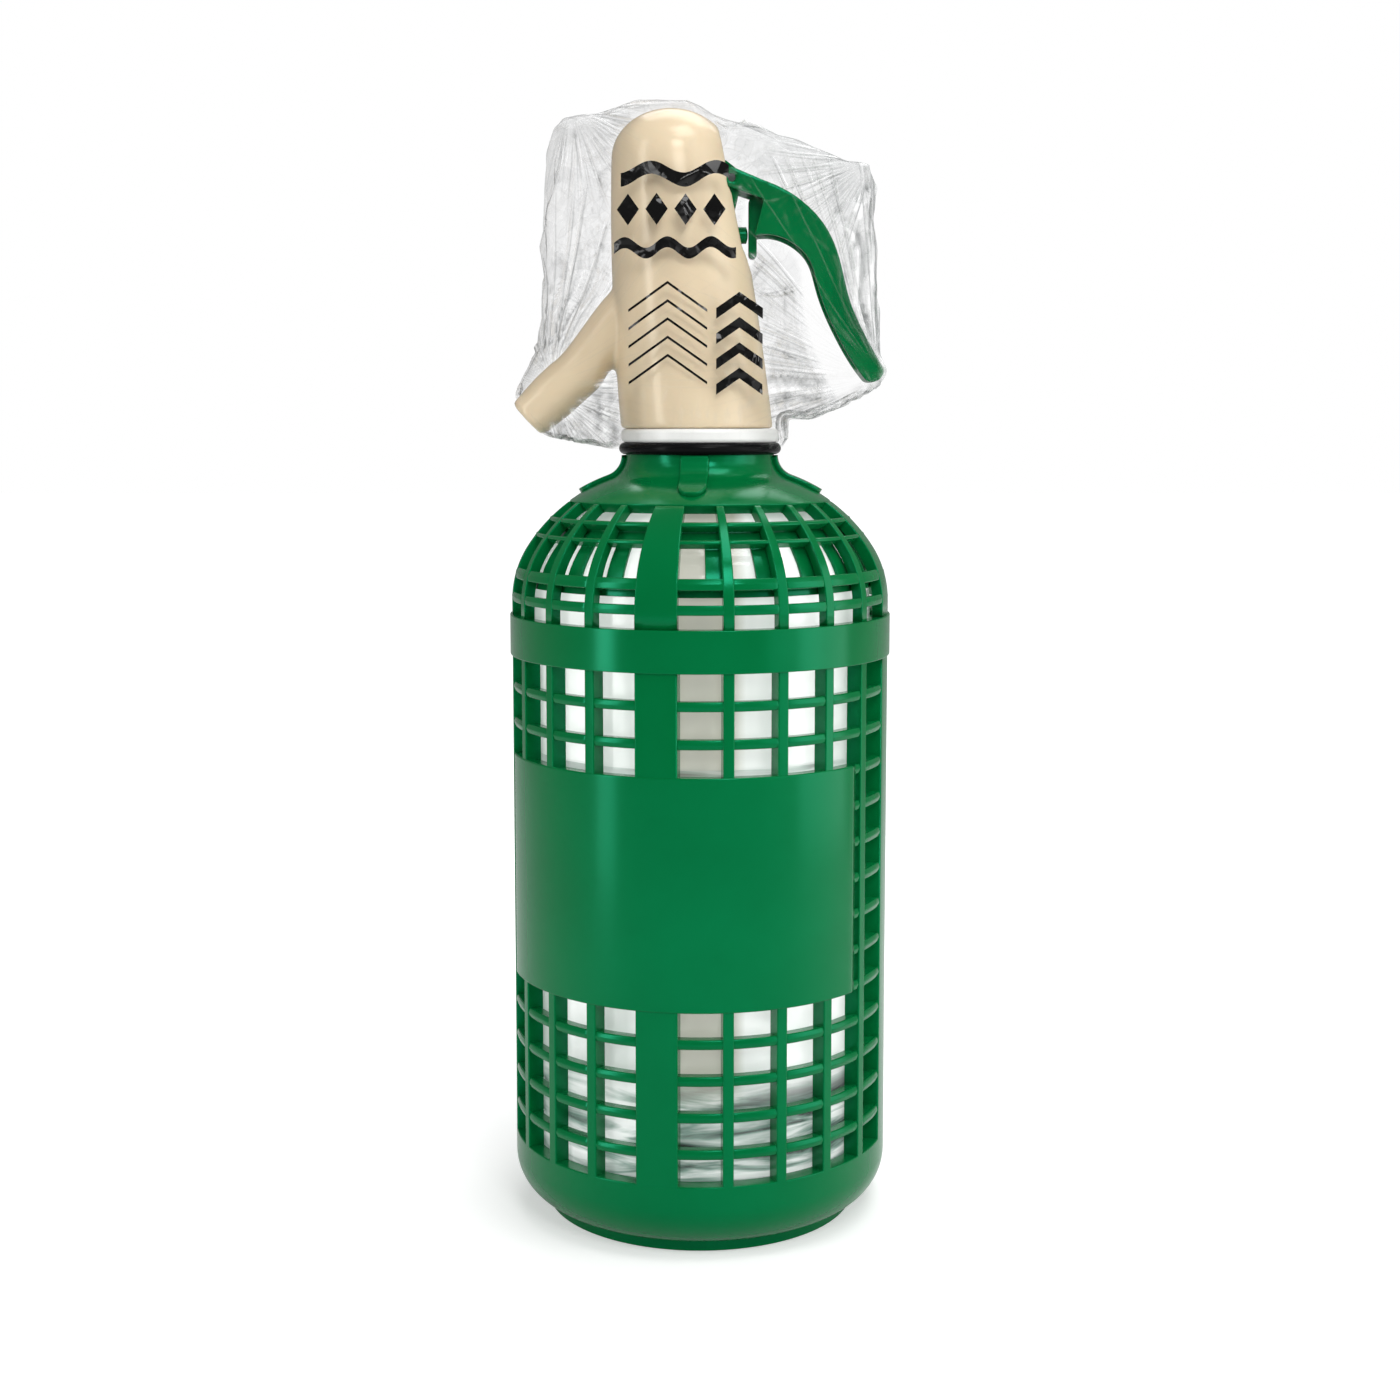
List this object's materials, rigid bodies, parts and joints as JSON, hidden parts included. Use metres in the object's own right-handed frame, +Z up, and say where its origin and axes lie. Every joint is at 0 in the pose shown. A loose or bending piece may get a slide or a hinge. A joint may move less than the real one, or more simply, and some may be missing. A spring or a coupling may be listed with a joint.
{
  "type": "soda siphon",
  "caption": "Glass soda siphon in a latticed plastic cage, with a moulded lever head, slanted spout and clear film hood.",
  "frame": {"origin": "centre of the foot ring, on the surface the siphon stands on", "axes": "+Z up the bottle, +X towards the lever, -X towards the spout, -Y the front with the label panel"},
  "size_m": [0.1112, 0.1112, 0.3243],
  "materials": {
    "green_plastic": "gloss",
    "cream_plastic": "gloss",
    "white_plastic": "gloss",
    "black_rubber": "satin",
    "clear_glass": "clear",
    "clear_tube": "clear",
    "steel": "satin",
    "clear_film": "clear"
  },
  "bodies": {
    "bottle_and_head": {"basket": "green_plastic", "foot_plate": "green_plastic", "dome": "green_plastic", "shoulder_spacer": "green_plastic", "bottle": "clear_glass", "neck_ring": "black_rubber", "collar_nut": "white_plastic", "split_ring_front": "white_plastic", "split_ring_back": "white_plastic", "mouth_gasket": "black_rubber", "dip_tube": "clear_tube", "head": "cream_plastic", "lever_bracket": "green_plastic", "pivot_pin": "steel", "valve_bush": "white_plastic", "return_spring": "steel", "film_hood": "clear_film"},
    "lever": {"lever": "green_plastic"},
    "valve": {"valve_spool": "white_plastic", "spool_seal_inner": "black_rubber", "spool_seal_outer": "black_rubber", "push_knob": "green_plastic"}
  },
  "joints": [
    {"name": "lever_press", "type": "hinge", "parent": "bottle_and_head", "child": "lever", "pos_m": [0.009, 0, 0.30006], "axis": [0, 1, 0], "range_deg": [0, 8.5], "stiffness_Nm_per_rad": 0.15, "springref_deg": -34.38},
    {"name": "valve_push", "type": "slide", "parent": "bottle_and_head", "child": "valve", "axis": [-1, 0, 0], "range_m": [0, 0.00251], "deforming": ["return_spring"]}
  ],
  "couplings": [
    {"joint": "valve_push", "follows": "lever_press", "m_per_rad": 0.0156}
  ]
}
